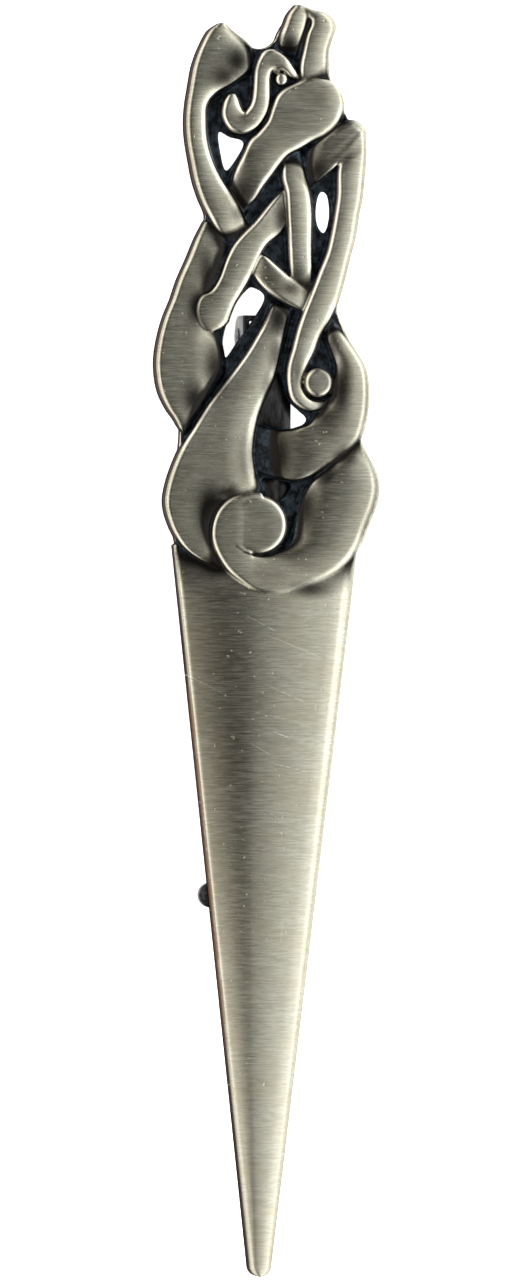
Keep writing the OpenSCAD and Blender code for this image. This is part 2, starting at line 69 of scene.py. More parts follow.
# Pegs: places along the back, radius of the post and of its peened head, and the head's height and underside
PEG_YS = (14.66, -15.4)
PEG_R = 0.8
PEG_HEAD_R = 1.15
PEG_HEAD_T = 0.4
PEG_HEAD_Z = 3.457
# Grain of the fused casting, and the most triangles it keeps
VOXEL = 0.085
TRIANGLES = 185000

# Strands as (first edge across, along, rise, second edge across, along, rise), a row for each section.
# Across is in hundredths of half the knot's width, along in thousandths of its length, and rise in hundredths
# of the strand height.
STRANDS = {
    "lappet": [
        (-44, 965, 84, -42, 965, 84), (-54, 951, 94, -33, 951, 84), (-62, 922, 97, -17, 926, 70),
        (-67, 895, 98, -12, 890, 62), (-69, 877, 98, -26, 866, 64), (-71, 853, 98, -46, 846, 82),
        (-73, 828, 98, -55, 826, 92), (-74, 799, 98, -56, 799, 94), (-73, 768, 98, -55, 768, 95),
        (-70, 735, 99, -51, 738, 97), (-66, 698, 100, -43, 704, 100), (-60, 665, 101, -34, 677, 102),
        (-52, 635, 99, -27, 654, 101), (-45, 613, 92, -21, 633, 94), (-32, 579, 66, -12, 610, 68),
    ],
    "snout": [
        (26, 873, 84, 25, 871, 84), (21, 888, 92, 18, 877, 88), (15, 905, 96, 14, 883, 92),
        (8, 916, 97, 9, 888, 94), (1, 920, 97, 4, 888, 95), (-7, 914, 97, 1, 883, 96),
        (-13, 890, 97, 0, 870, 96), (-14, 861, 97, 0, 853, 96), (-15, 839, 97, 0, 831, 96),
        (-17, 826, 97, -3, 811, 96),
        (-20, 818, 97, -11, 790, 96), (-22, 813, 97, -23, 780, 96), (-24, 818, 97, -35, 785, 96),
        (-26, 826, 97, -42, 807, 96), (-28, 834, 96, -41, 828, 95), (-31, 843, 92, -37, 842, 92),
        (-33, 846, 88, -34, 846, 88),
    ],
    "left_ear": [
        (7, 920, 72, 25, 907, 68), (8, 932, 88, 27, 920, 80), (10, 948, 95, 29, 939, 88),
        (13, 963, 96, 32, 958, 91), (17, 982, 94, 34, 976, 91), (24, 997, 90, 34, 987, 88),
    ],
    "right_ear": [
        (26, 997, 88, 31, 981, 84), (37, 988, 92, 34, 976, 86), (47, 984, 94, 36, 972, 90),
        (55, 974, 95, 36, 963, 95), (58, 959, 95, 33, 949, 97), (55, 941, 95, 31, 934, 97),
        (52, 920, 95, 29, 915, 97), (52, 900, 94, 27, 895, 96), (53, 878, 86, 27, 875, 88),
        (56, 863, 66, 27, 860, 66),
    ],
    "ear_fold": [
        (33, 979, 70, 37, 978, 70), (31, 962, 78, 35, 961, 78), (28, 943, 80, 32, 941, 80),
        (26, 924, 76, 30, 922, 76), (24, 904, 58, 28, 902, 58),
    ],
    "head": [
        (54, 870, 96, 63, 850, 96), (44, 873, 99, 66, 831, 98), (32, 872, 100, 65, 814, 99),
        (22, 863, 100, 60, 795, 100), (12, 853, 100, 50, 778, 100), (6, 841, 100, 39, 768, 100),
        (2, 822, 100, 28, 756, 100), (-2, 800, 100, 17, 745, 100), (-10, 780, 100, 9, 728, 100),
        (-18, 765, 99, 2, 709, 99), (-24, 741, 96, -5, 691, 97), (-30, 718, 88, -11, 672, 92),
        (-35, 694, 74, -17, 655, 84), (-34, 672, 66, -21, 643, 76), (-26, 650, 64, -24, 638, 68),
    ],
    "right_strand": [
        (53, 780, 72, 68, 804, 88), (43, 767, 70, 75, 803, 91), (34, 752, 68, 78, 801, 93),
        (32, 731, 68, 80, 798, 94), (33, 713, 68, 82, 795, 95), (35, 700, 67, 84, 792, 95),
        (38, 691, 66, 85, 788, 96), (50, 710, 82, 86, 775, 96), (61, 729, 96, 86, 760, 97),
        (61, 715, 99, 86, 742, 97), (61, 700, 99, 85, 715, 97), (61, 676, 99, 83, 674, 97),
        (59, 647, 99, 80, 644, 97), (56, 613, 99, 77, 606, 97), (52, 579, 99, 72, 569, 97),
        (45, 545, 100, 67, 530, 98), (38, 510, 101, 62, 497, 99), (31, 476, 101, 55, 468, 99),
        (26, 448, 100, 47, 441, 99), (22, 417, 99, 42, 414, 98), (18, 387, 98, 35, 387, 96),
        (18, 360, 97, 30, 360, 92), (21, 334, 96, 33, 343, 90), (29, 319, 94, 39, 331, 88),
        (40, 313, 90, 46, 329, 84), (50, 318, 84, 53, 333, 80), (57, 331, 76, 57, 340, 74),
    ],
    "middle_strand": [
        (17, 765, 64, 31, 770, 64), (13, 741, 74, 29, 745, 74), (12, 724, 86, 31, 727, 86),
        (12, 704, 96, 33, 706, 94), (15, 679, 101, 37, 679, 98), (16, 650, 102, 39, 647, 98),
        (17, 616, 100, 39, 613, 97), (18, 586, 96, 39, 579, 94), (19, 558, 91, 40, 548, 89),
        (20, 530, 84, 41, 512, 82),
    ],
    "cross_band": [
        (-12, 576, 82, -17, 546, 80), (-3, 573, 91, -10, 530, 89), (6, 559, 95, -2, 515, 93),
        (15, 544, 96, 8, 502, 94), (25, 530, 92, 18, 491, 90), (36, 518, 86, 29, 480, 84),
        (44, 508, 76, 39, 468, 74),
    ],
    "diagonal_strand": [
        (17, 698, 76, 28, 664, 74), (7, 675, 86, 21, 640, 83), (-4, 649, 95, 12, 614, 92),
        (-12, 630, 99, -1, 594, 98), (-22, 611, 101, -8, 572, 100), (-31, 591, 102, -13, 551, 101),
        (-38, 566, 102, -19, 527, 101), (-44, 535, 102, -25, 507, 101), (-51, 513, 102, -30, 490, 101),
        (-61, 502, 101, -34, 471, 100), (-65, 482, 100, -36, 460, 99), (-63, 463, 98, -42, 449, 98),
        (-58, 449, 95, -50, 444, 95),
    ],
    "left_loop": [
        (-56, 630, 82, -38, 622, 60), (-64, 600, 94, -34, 582, 56), (-71, 567, 96, -38, 549, 58),
        (-79, 532, 97, -45, 518, 62), (-85, 498, 97, -49, 493, 64), (-92, 464, 97, -46, 461, 68),
        (-97, 426, 97, -41, 429, 78), (-99, 387, 97, -38, 384, 74), (-96, 346, 96, -48, 343, 70),
        (-89, 316, 94, -58, 312, 70), (-81, 294, 88, -68, 289, 70), (-77, 279, 78, -74, 272, 70),
    ],
    "teardrop": [
        (4, 493, 78, 24, 480, 60), (-1, 468, 92, 19, 459, 64), (-9, 439, 97, 15, 431, 78),
        (-19, 407, 99, 11, 400, 92), (-31, 375, 100, 6, 366, 97), (-43, 345, 100, -1, 334, 98),
        (-55, 314, 100, -8, 302, 98), (-66, 279, 100, -12, 268, 98), (-76, 247, 99, -13, 236, 98),
        (-84, 211, 98, -10, 204, 95), (-89, 177, 97, -5, 174, 80), (-90, 152, 97, -24, 152, 58),
        (-87, 127, 97, -38, 123, 54), (-81, 101, 96, -40, 94, 54), (-72, 78, 93, -38, 68, 58),
        (-60, 61, 88, -34, 48, 64), (-44, 46, 80, -30, 38, 68),
    ],
    "lower_loop": [
        (83, 260, 82, 81, 257, 78), (91, 233, 92, 69, 238, 80), (98, 206, 95, 55, 216, 82),
        (100, 177, 96, 41, 194, 80), (97, 149, 96, 32, 169, 72), (91, 120, 96, 27, 142, 66),
        (85, 91, 96, 24, 115, 64), (76, 64, 96, 21, 95, 66), (63, 42, 97, 15, 81, 76),
        (46, 24, 98, 8, 73, 85), (28, 10, 100, 1, 67, 93), (9, 2, 101, -6, 66, 98),
        (-9, 8, 102, -13, 69, 101),
        (-23, 24, 103, -14, 82, 103), (-35, 44, 103, -10, 94, 104), (-44, 69, 104, -6, 106, 105),
        (-49, 96, 104, -3, 118, 105), (-48, 123, 104, -2, 130, 105), (-42, 147, 103, -2, 140, 105),
        (-31, 164, 102, -3, 150, 104), (-18, 171, 101, -4, 157, 103), (-5, 172, 99, -3, 164, 101),
    ],
    "right_loop": [
        (57, 469, 64, 53, 463, 60), (68, 442, 86, 51, 437, 66), (78, 414, 95, 55, 414, 68),
        (87, 385, 96, 59, 390, 66), (90, 355, 96, 57, 361, 66), (90, 324, 96, 54, 336, 68),
        (88, 296, 96, 48, 319, 74), (83, 265, 95, 41, 301, 81), (72, 241, 93, 37, 290, 85),
        (58, 223, 92, 30, 284, 86), (44, 206, 90, 23, 280, 84), (30, 196, 86, 15, 280, 78),
        (17, 195, 78, 6, 282, 69), (4, 201, 64, -2, 285, 58), (-10, 210, 50, -12, 289, 50),
    ],
}
# Round bosses and eyes as (across, along, radius in hundredths of half the width, rise)
BOSSES = [(-8, 119, 26, 105.5), (45, 360, 13, 100), (10, 871, 5.2, 95), (6, 886, 3.6, 84)]
# Outline of the web, and the openings cut through it, as (across, along)
WEB_EDGE = [
    (-41, 929), (-31, 948), (-23, 933), (-15, 925), (-8, 923), (-1, 927), (5, 937), (8, 951), (17, 971),
    (44, 971), (48, 904), (59, 853), (68, 819), (71, 806), (79, 768), (77, 667), (68, 566), (64, 507),
    (63, 478), (69, 453), (80, 397), (85, 329), (84, 279), (86, 253), (90, 177), (84, 108), (79, 84),
    (60, 52), (7, 12), (-33, 40), (-66, 60), (-79, 84), (-82, 110), (-85, 152), (-79, 228), (-77, 270),
    (-79, 292), (-94, 338), (-95, 414), (-79, 512), (-61, 600), (-56, 635), (-59, 658), (-66, 718),
    (-71, 802), (-67, 878), (-57, 924),
]
OPENINGS = [
    [(-44, 781), (-33, 773), (-21, 765), (-27, 738), (-37, 716), (-42, 743)],
    [(43, 647), (45, 674), (49, 683), (54, 676), (56, 648), (54, 622), (50, 613), (45, 624)],
    [(-12, 520), (-1, 503), (-13, 461), (-25, 429), (-36, 400), (-39, 426), (-35, 461), (-27, 493),
     (-19, 513)],
    [(9, 380), (2, 353), (-4, 326), (-6, 299), (2, 285), (18, 282), (31, 286), (37, 299), (29, 314),
     (20, 331), (15, 358)],
    [(-3, 197), (9, 197), (18, 193), (23, 187), (20, 174), (15, 163), (10, 161), (4, 168), (0, 181)],
]


def knot_xy(across, along):
    """A place in the knot, in millimetres, from its shares across and along."""
    return Vector((across / 100 * KNOT_W / 2, KNOT_Y + along / 1000 * KNOT_LEN))


def curve(a, b, c, d, t):
    """A value on the smooth curve through b and c, at share t between them."""
    return (
        b + t * (c - a) / 2 + t * t * (a - 2.5 * b + 2 * c - d / 2) + t**3 * (1.5 * (b - c) + (d - a) / 2)
    )


def smooth_at(rows, t, closed=False):
    """The table's row at share t of its whole length."""
    count = len(rows) if closed else len(rows) - 1
    i = min(int(t * count), count - 1)
    if closed:
        a, b, c, d = (rows[(i + k) % len(rows)] for k in (-1, 0, 1, 2))
    else:
        a, b, c, d = (rows[min(max(i + k, 0), count)] for k in (-1, 0, 1, 2))
    return curve(*(np.array(r, float) for r in (a, b, c, d)), t * count - i)


def sheet_solid(bm, columns, rows, place, foot):
    """A grid laid by place(u, v), and a copy of it flat at the height foot, closed into one solid."""
    made = bmesh.ops.create_grid(bm, x_segments=columns, y_segments=rows, size=1)["verts"]
    faces = list({f for v in made for f in v.link_faces})
    for v in made:
        v.co = place((v.co.x + 1) / 2, (v.co.y + 1) / 2)
    grown = bmesh.ops.extrude_face_region(bm, geom=faces, use_keep_orig=True)["geom"]
    for v in grown:
        if isinstance(v, bmesh.types.BMVert):
            v.co.z = foot


def rolled(top, from_edge, width, broad=0):
    """Height of a surface of that width at a distance from its edge. Broad is how much shoulder it has."""
    edge = min(max(from_edge / min(EDGE_W * (1 + 0.25 * broad * width), 0.3 * width), 0), 1)
    soft = min(max(from_edge / min(SOFT_W + BROAD * broad, (0.48 + 0.27 * broad) * width), 0), 1)
    small = min(width / 2, 1)
    return top - small * (EDGE_T * (1 - edge) ** 2.2 + SOFT_T * broad * (1 - soft) ** 2)


def strand_place(rows, rim=0):
    """A strand's surface. With a rim it is the flat web under the strand, that much wider."""
    found = {}

    def place(u, v):
        if v not in found:
            found[v] = smooth_at(rows, v)
        row = found[v]
        a, b = knot_xy(row[0], row[1]), knot_xy(row[3], row[4])
        across = b - a
        width = max(across.length, 0.02)
        beyond = across / width * (rim or EASED)
        a, b, width = a - beyond, b + beyond, width + 2 * EASED
        if rim:
            p = a.lerp(b, u)
            return Vector((p.x, p.y, BACK_Z + WEB_T))
        # Columns lie closer together on the rolled edges than on the flat between them
        s = 0.5 - 0.5 * math.cos(math.pi * u)
        s = 0.5 * (s + u)
        # The strand stays flat over most of its width and dips only beside its lower edge
        high, low, share = (row[2], row[5], s) if row[2] > row[5] else (row[5], row[2], 1 - s)
        top = BACK_Z + STRAND_T * (high + (low - high) * share**7) / 100
        p = a.lerp(b, s)
        # The shoulder is broad on the edge that lies to the right and narrow on the other
        right = across.x / width
        left_z = rolled(top, s * width, width, max(-right, 0))
        return Vector((p.x, p.y, left_z + rolled(top, (1 - s) * width, width, max(right, 0)) - top))

    return place


def blade_half(y):
    """Half the blade's width at a height along the pin, round at the tip."""
    if y < TIP_Y:
        return math.sqrt(max(TIP_R**2 - (TIP_Y - y) ** 2, 0))
    return TIP_R + (BLADE_W / 2 - TIP_R) * (y - TIP_Y) / (BLADE_TOP_Y - TIP_Y)


def blade_place(u, v):
    """The blade's surface: rolled edges and a soft ridge that leans left on its way down to the tip."""
    y = BLADE_TOP_Y + (TIP_Y - TIP_R - BLADE_TOP_Y) * (1 - (1 - v) ** 1.02)
    half = max(blade_half(y), 0.02)
    s = math.sin(math.pi * (u - 0.5)) * 0.5 + (u - 0.5)
    x = s * half
    down = (BLADE_TOP_Y - y) / (BLADE_TOP_Y - TIP_Y)
    shoulder = min(down / 0.085, 1)
    shoulder = shoulder * shoulder * (3 - 2 * shoulder)
    flank = FLANK_T * (0.86 + 0.14 * shoulder) * (1 - 0.08 * down)
    ridge = RIDGE_T * (0.7 + 0.3 * shoulder) * (1 - 0.1 * down - 0.09 * down**4)
    ridge_x = -(0.06 + 0.3 * down) * half
    over = abs(x - ridge_x) / (half + (ridge_x if x < ridge_x else -ridge_x))
    top = BACK_Z + flank + (ridge - flank) * (1 - over**1.9)
    edge = half - abs(x)
    if y < TIP_Y:
        edge = min(edge, TIP_R - math.hypot(x, TIP_Y - y))
    return Vector((x, y, rolled(top, max(edge, 0), 2 * half, 0.6 * max(x, 0) / half)))


def web_plate(bm):
    """The web's outline and openings as one pierced face, thickened."""
    edges = []
    for ring in [WEB_EDGE, *OPENINGS]:
        steps = len(ring) * 5
        verts = []
        for i in range(steps):
            p = knot_xy(*smooth_at(ring, i / steps, closed=True))
            verts.append(bm.verts.new((p.x, p.y, BACK_Z)))
        edges += [bm.edges.new((verts[i - 1], verts[i])) for i in range(steps)]
    made = bmesh.ops.triangle_fill(bm, edges=edges, use_beauty=True)["geom"]
    faces = [f for f in made if isinstance(f, bmesh.types.BMFace)]
    grown = bmesh.ops.extrude_face_region(bm, geom=faces, use_keep_orig=True)["geom"]
    for v in grown:
        if isinstance(v, bmesh.types.BMVert):
            v.co.z = BACK_Z + WEB_T


def turned(bm, x, y, levels):
    """A solid turned about an upright axis, through (radius, height) levels from one end to the other."""
    points = [(0, levels[0][1]), *levels, (0, levels[-1][1])]
    verts = [bm.verts.new((x + r, y, z)) for r, z in points]
    edges = [bm.edges.new(pair) for pair in zip(verts, verts[1:])]
    bmesh.ops.spin(
        bm, geom=verts + edges, cent=(x, y, 0), axis=(0, 0, 1), angle=2 * math.pi, steps=48, use_merge=True
    )
    middle = [v for v in bm.verts if (v.co.xy - Vector((x, y))).length < 1e-6]
    bmesh.ops.remove_doubles(bm, verts=middle, dist=1e-6)


bm = bmesh.new()
for across, along, radius, rise in BOSSES:
    at = knot_xy(across, along)
    r = radius / 100 * KNOT_W / 2
    top = BACK_Z + STRAND_T * min(rise, EYE_RISE) / 100
    dome = [(r - r * k / 16, rolled(top, r * k / 16, 2 * r)) for k in range(16)]
    turned(bm, at.x, at.y, [(r, BACK_Z + WEB_T / 2), *dome])
under_strip = PEG_HEAD_Z + PEG_HEAD_T
for y in PEG_YS:
    turned(bm, 0, y, [
        (PEG_HEAD_R - 0.2, PEG_HEAD_Z), (PEG_HEAD_R, PEG_HEAD_Z + 0.143), (PEG_HEAD_R, under_strip),
        (PEG_R, under_strip), (PEG_R, BACK_Z + WEB_T / 2),
    ])
for rows in STRANDS.values():
    length = sum(
        (knot_xy(a[0] + a[3], a[1] + a[4]) - knot_xy(b[0] + b[3], b[1] + b[4])).length / 2
        for a, b in zip(rows, rows[1:])
    )
    sheet_solid(bm, 40, max(int(length / 0.12), 20), strand_place(rows), BACK_Z + WEB_T / 2)
    sheet_solid(bm, 4, max(int(length / 0.25), 12), strand_place(rows, WEB_RIM), BACK_Z)
sheet_solid(bm, 64, 420, blade_place, BACK_Z)
web_plate(bm)
bm.normal_update()
bmesh.ops.recalc_face_normals(bm, faces=bm.faces)
bmesh.ops.scale(bm, vec=(MM, MM, MM), verts=bm.verts)
sketch = bpy.data.meshes.new("casting_sketch")
bm.to_mesh(sketch)
bm.free()
rough = bpy.data.objects.new("casting_sketch", sketch)
bpy.context.scene.collection.objects.link(rough)
cast = rough.modifiers.new("one casting", "REMESH")
cast.mode = "VOXEL"
cast.voxel_size = VOXEL * MM
soften = rough.modifiers.new("soften", "SMOOTH")
soften.factor = 0.5
soften.iterations = 3
evaluated = rough.evaluated_get(bpy.context.evaluated_depsgraph_get())
dense = np.empty(len(evaluated.data.vertices) * 3)
evaluated.data.vertices.foreach_get("co", dense)
dense = dense.reshape(-1, 3) / MM
count = sum(len(p.vertices) - 2 for p in evaluated.data.polygons)
thin = rough.modifiers.new("thin", "DECIMATE")
thin.ratio = min(TRIANGLES / count, 1)
evaluated = rough.evaluated_get(bpy.context.evaluated_depsgraph_get())
mesh = bpy.data.meshes.new_from_object(evaluated)
bpy.data.objects.remove(rough)
bpy.data.meshes.remove(sketch)


def blurred(field, cells):
    """Three box blurs of that radius, close to a round soft blur."""
    for _ in range(3):
        for axis in (0, 1):
            pad = [(0, 0), (0, 0)]
            pad[axis] = (cells + 1, cells)
            total = np.cumsum(np.pad(field, pad), axis=axis)
            upper = np.take(total, range(2 * cells + 1, total.shape[axis]), axis=axis)
            lower = np.take(total, range(total.shape[axis] - 2 * cells - 1), axis=axis)
            field = (upper - lower) / (2 * cells + 1)
    return field


# The patina follows the relief: how far each point lies under the soft average height round it, near and
# wide
CELL = 0.1
corner = dense[:, :2].min(axis=0) - 1
shape = np.ceil((dense[:, :2].max(axis=0) + 1 - corner) / CELL).astype(int)
heights = np.zeros(shape)
cells = ((dense[:, :2] - corner) / CELL).astype(int)
order = np.argsort(dense[:, 2])
heights[cells[order, 0], cells[order, 1]] = dense[order, 2]
filled = (heights > BACK_Z + 0.5).astype(float)
# The patina is rubbed off the outer walls. Inside the outline has metal on both sides of it, along and
# across.
inside = np.ones(shape)
for axis in (0, 1):
    before = np.maximum.accumulate(filled, axis=axis)
    after = np.flip(np.maximum.accumulate(np.flip(filled, axis=axis), axis=axis), axis=axis)
    inside *= before * after
points = np.empty(len(mesh.vertices) * 3)
mesh.vertices.foreach_get("co", points)
points = points.reshape(-1, 3) / MM
normals = np.empty(len(mesh.vertices) * 3)
mesh.vertices.foreach_get("normal", normals)
faces_up = normals.reshape(-1, 3)[:, 2] > -0.5
at = ((points[:, :2] - corner) / CELL).astype(int)


def hollow(cells):
    """How far each point lies under the average height of that many cells round it."""
    average = blurred(heights * filled, cells) / np.maximum(blurred(filled, cells), 1e-6)
    return average[at[:, 0], at[:, 1]] - points[:, 2]


def rubbed(cells):
    """0 at the outer outline, where handling keeps the metal bare, to 1 further in."""
    return np.clip((blurred(inside, cells)[at[:, 0], at[:, 1]] - 0.66) / 0.3, 0, 1) * faces_up


# How far a point lies under the full strand height, which on the blade only its dip below the knot counts
# for
down = np.clip((BLADE_TOP_Y - points[:, 1]) / (0.085 * (BLADE_TOP_Y - TIP_Y)), 0, 1)
knot = np.clip((points[:, 1] - 5.6) / 1.6, 0, 1)
near_knot = 1 - down * down * (3 - 2 * down)
# On the blade this darkens the top just below the knot: patina there, and painted shade of the higher knot
sunk = knot * (BACK_Z + STRAND_T - points[:, 2]) + (1 - knot) * 0.5 * near_knot
# Pools of patina where a strand dives under another, and of painted shade on strands that turn from the
# light, as (x, y, half width, half height, strength, highest). Metal higher above the casting's back than the
# last number belongs to the upper strand and stays bare.
PATINA_AND_SHADE_POOLS = (
    (0.9, 14.4, 1.1, 2.6, 1.2, 3), (2.9, 10.6, 1.1, 2.4, 1.2, 3), (4.8, 22.6, 0.9, 2.0, 1.1, 3),
    (5.7, 20.0, 0.8, 2.4, 1.1, 3), (4.6, 17.6, 1.2, 0.9, 0.8, 3), (4.7, 12.9, 1.2, 1.0, 1.0, 1.92),
    (6.2, 14.4, 0.9, 0.7, 0.8, 1.92), (-4.6, 9.6, 1.1, 2.6, 1.3, 2.02), (-3.1, 11.7, 1.0, 0.55, 0.9, 2.02),
    (-4.1, 6.3, 0.9, 1.1, 0.9, 2.02), (-3.9, 29.0, 0.9, 2.2, 1.1, 1.98), (-4.1, 21.3, 1.1, 2.6, 1.2, 3),
    (-1.8, 45.4, 0.8, 1.0, 0.9, 3), (-2.3, 44.9, 0.9, 0.9, 0.9, 3), (-2.9, 44.5, 1.1, 0.8, 0.9, 3),
    (-3.6, 44.1, 1.2, 1.0, 1.0, 3), (-2.1, 35.2, 1.1, 1.3, 0.9, 3), (3.7, 36.7, 1.3, 1.6, 1.1, 1.93),
    (1.1, 33.1, 0.7, 1.7, 1.1, 1.98), (1.5, 46.6, 0.9, 0.9, 1.1, 3), (-3.9, 31.2, 1.0, 0.9, 0.9, 3),
    (0.9, 25.2, 1.0, 1.7, 1.2, 3), (0.7, 22.3, 0.7, 1.8, 0.9, 3), (0.1, 19.4, 0.6, 1.5, 0.8, 3),
    (2.4, 20.8, 0.5, 1.6, 0.6, 3), (-5.8, 18.8, 1.0, 1.6, 1.2, 2.02), (-5.8, 26.0, 0.8, 1.7, 1.1, 2.0),
    (-4.9, 28.7, 0.8, 2.0, 1.0, 1.98), (2.3, 28.5, 0.6, 1.1, 0.7, 3), (1.7, 27.6, 0.9, 0.6, 0.8, 3),
    (-2.6, 45.4, 1.1, 1.3, 1.2, 3), (-2.1, 33.6, 0.8, 0.9, 0.9, 3), (-1.6, 14.2, 0.9, 2.6, 0.5, 3),
    (3.5, 4.0, 1.5, 0.6, 0.8, 2.02),
)
pooled_patina_and_shade = np.zeros(len(points))
for x, y, half_x, half_y, strength, highest in PATINA_AND_SHADE_POOLS:
    share = np.exp(-(((points[:, 0] - x) / half_x) ** 2) - ((points[:, 1] - y) / half_y) ** 2)
    lower = np.clip((BACK_Z + highest - points[:, 2]) / 0.06, 0, 1)
    pooled_patina_and_shade = np.maximum(pooled_patina_and_shade, strength * share * lower)
# Point attributes that the plating reads
for name, value in (
    ("sunk", sunk * rubbed(2)),
    ("pooled_patina_and_shade", pooled_patina_and_shade * rubbed(2)),
    ("near_hollow", hollow(3) * faces_up),
    ("wide_hollow", hollow(13) * rubbed(4) * np.maximum(knot, 0.5 * near_knot)),
):
    mesh.attributes.new(name, "FLOAT", "POINT").data.foreach_set("value", value)
mesh.polygons.foreach_set("use_smooth", [True] * len(mesh.polygons))
mesh.name = "casting"
casting = bpy.data.objects.new("casting_cast", mesh)
bpy.context.scene.collection.objects.link(casting)


def hexa(text):
    """A linear colour from its sRGB hex."""
    values = [int(text[i : i + 2], 16) / 255 for i in (1, 3, 5)]
    return (*[v / 12.92 if v <= 0.04045 else ((v + 0.055) / 1.055) ** 2.4 for v in values], 1)


def put(tree, kind, settings=None, links=None):
    """Adds a node with those settings, and a value or another node's socket for each named input."""
    made = tree.nodes.new(kind)
    for name, value in (settings or {}).items():
        setattr(made, name, value)
    for name, value in (links or {}).items():
        if isinstance(value, bpy.types.NodeSocket):
            tree.links.new(value, made.inputs[name])
        else:
            made.inputs[name].default_value = value
    return made


def new_material(name):
    """An empty material, and its node tree."""
    made = bpy.data.materials.new(name)
    made.use_nodes = True
    made.node_tree.nodes.clear()
    return made, made.node_tree


def pattern(tree, place, scale, detail=3, rough=0.5, shift=(0, 0, 0)):
    """Noise laid by object coordinates, with its scale along each axis in cycles per millimetre."""
    moved = put(tree, "ShaderNodeMapping", links={
        "Vector": place, "Location": shift, "Scale": tuple(v / MM for v in scale)})
    return put(tree, "ShaderNodeTexNoise", links={
        "Vector": moved.outputs[0], "Scale": 1.0, "Detail": detail, "Roughness": rough}).outputs["Fac"]


def ranged(tree, value, low, high, to_low=0.0, to_high=1.0, smooth=True):
    """The value taken from the range low to high to another range, and held at its ends."""
    return put(tree, "ShaderNodeMapRange", {"interpolation_type": "SMOOTHSTEP" if smooth else "LINEAR"}, {
        "Value": value, "From Min": low, "From Max": high, "To Min": to_low, "To Max": to_high}).outputs[0]


def maths(tree, kind, a, b, c=0.0):
    """One sum of up to three values or sockets."""
    return put(tree, "ShaderNodeMath", {"operation": kind}, {0: a, 1: b, 2: c}).outputs[0]


def mixed(tree, share, a, b):
    """Colour a, with that share of colour b over it."""
    return put(tree, "ShaderNodeMix", {"data_type": "RGBA"}, {"Factor": share, 6: a, 7: b}).outputs[2]


# Antiqued pewter plate: warm grey brushed flats, pale worn edges, and blue-black patina fading out of the
# recesses
pewter, tree = new_material("antiqued_pewter")
axes = put(tree, "ShaderNodeTexCoord")
place = axes.outputs["Object"]
near = put(tree, "ShaderNodeAttribute", {"attribute_name": "near_hollow"}).outputs["Fac"]
wide = put(tree, "ShaderNodeAttribute", {"attribute_name": "wide_hollow"}).outputs["Fac"]
fine_brush = pattern(tree, place, (1.0, 11, 4), 4, 0.65)
long_brush = pattern(tree, place, (0.4, 6.5, 3), 3, 0.6, (7, 3, 1))
speckle = pattern(tree, place, (5, 5, 5), 3, 0.7, (2, 9, 4))
cloud = pattern(tree, place, (0.35, 0.5, 0.4), 3, 0.55, (4, 1, 6))
long_brush = maths(tree, "MULTIPLY", long_brush, 0.4)
brush = maths(tree, "ADD", maths(tree, "MULTIPLY", fine_brush, 0.6), long_brush)
sunk = put(tree, "ShaderNodeAttribute", {"attribute_name": "sunk"}).outputs["Fac"]
recess = maths(tree, "ADD", maths(tree, "MULTIPLY", sunk, 0.7), maths(tree, "MULTIPLY", wide, 7.0))
flecks = maths(tree, "MULTIPLY", maths(tree, "SUBTRACT", speckle, 0.5), 0.3)
flecks = maths(tree, "ADD", flecks, maths(tree, "MULTIPLY", maths(tree, "SUBTRACT", brush, 0.5), 0.3))
# The pools add patina and painted shade to the film
pooled_patina_and_shade = put(tree, "ShaderNodeAttribute", {"attribute_name": "pooled_patina_and_shade"}).outputs["Fac"]
filmed = maths(tree, "ADD", maths(tree, "MAXIMUM", recess, 0.0), maths(tree, "MULTIPLY", pooled_patina_and_shade, 0.85))
filmed = maths(tree, "ADD", filmed, flecks)
# The film thins out evenly to the eye, so its strength follows a power curve
bared = put(tree, "ShaderNodeMath", {"operation": "POWER"}, {
    0: ranged(tree, filmed, 0.08, 1.15, 1.0, 0.0, False), 1: 2.2})
patina = maths(tree, "SUBTRACT", 1.0, bared.outputs[0])
deep = ranged(tree, maths(tree, "ADD", recess, flecks), 1.0, 2.4)
rough_cast = pattern(tree, place, (1.6, 1.6, 1.6), 3, 0.55, (3, 3, 7))
worn = ranged(tree, maths(tree, "MULTIPLY", near, -1.0), 0.02, 0.12)
plate = mixed(tree, ranged(tree, brush, 0.38, 0.62), hexa("#a5a395"), hexa("#bcbaac"))
plate = mixed(tree, ranged(tree, cloud, 0.35, 0.7, 0.0, 0.35), plate, hexa("#a9a28c"))
plate = mixed(tree, maths(tree, "MULTIPLY", worn, 0.35), plate, hexa("#e9e6dc"))
# Painted shade on the walls: brown, nearly black at the foot, and fainter on the side that faces the
# light
normal = put(tree, "ShaderNodeSeparateXYZ", links={"Vector": axes.outputs["Normal"]})
to_right, to_front = normal.outputs["X"], normal.outputs["Z"]
unlit = ranged(tree, to_right, 0.2, 0.5, 1.0, 0.4)
wall_shade = maths(tree, "MULTIPLY", ranged(tree, to_front, 0.72, 0.38), unlit)
spot = put(tree, "ShaderNodeSeparateXYZ", links={"Vector": place})
along, height = spot.outputs["Y"], spot.outputs["Z"]
on_blade = ranged(tree, along, 3 * MM, 0)
wall_shade_colour = mixed(tree, on_blade, hexa("#453d39"), hexa("#352d29"))
foot = ranged(tree, height, (BACK_Z + 0.9) * MM, (BACK_Z + 0.6) * MM)
wall_shade_colour = mixed(tree, foot, wall_shade_colour, hexa("#120f0e"))
plate = mixed(tree, wall_shade, plate, wall_shade_colour)
